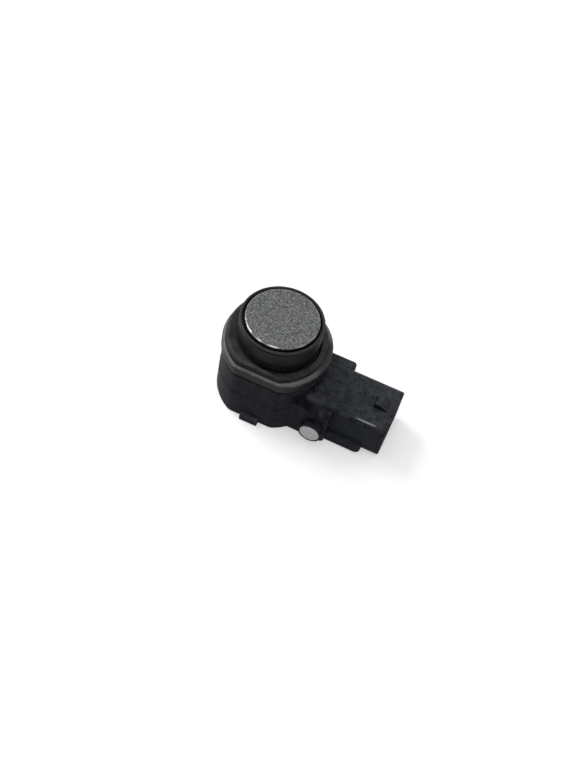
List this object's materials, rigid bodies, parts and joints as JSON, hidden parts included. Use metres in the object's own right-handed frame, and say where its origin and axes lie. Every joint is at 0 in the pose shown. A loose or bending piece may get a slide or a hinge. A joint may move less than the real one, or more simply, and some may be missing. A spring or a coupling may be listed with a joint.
{
  "type": "parking sensor",
  "caption": "Ultrasonic parking sensor: round painted membrane in a soft sleeve on a flat-sided body, with a side plug socket and locating pins.",
  "frame": {"origin": "on the axis of the membrane head, in the plane of the flat back", "axes": "+Z along the head's axis out of the painted face, +X along the plug socket towards its mouth"},
  "size_m": [0.04, 0.023, 0.0238],
  "materials": {
    "body_plastic": "matte",
    "collar_plastic": "matte",
    "soft_rubber": "matte",
    "ring_rubber": "satin",
    "face_paint": "metallic",
    "light_plug": "matte",
    "tin": "satin",
    "board": "satin",
    "chip_black": "matte",
    "ferrite": "matte",
    "copper": "satin",
    "can": "satin",
    "tan_ceramic": "satin",
    "piezo_ceramic": "matte",
    "felt": "matte",
    "silicone": "satin"
  },
  "bodies": {
    "root": {"housing": "body_plastic", "terminal_1": "tin", "terminal_2": "tin", "terminal_3": "tin", "stud_plug": "light_plug", "circuit_board": "board", "driver_chip": "chip_black", "transformer_core": "ferrite", "transformer_winding": "copper", "storage_capacitor": "can", "clamp_diode": "chip_black", "chip_capacitors": "tan_ceramic", "chip_resistors": "chip_black", "inner_plate": "body_plastic", "decoupling_sleeve": "soft_rubber", "front_collar": "collar_plastic", "membrane_cup": "face_paint", "piezo_disc": "piezo_ceramic", "damping_pad": "felt", "cup_fill": "silicone", "lead_1": "copper", "lead_2": "copper", "front_ring": "ring_rubber"}
  },
  "joints": []
}
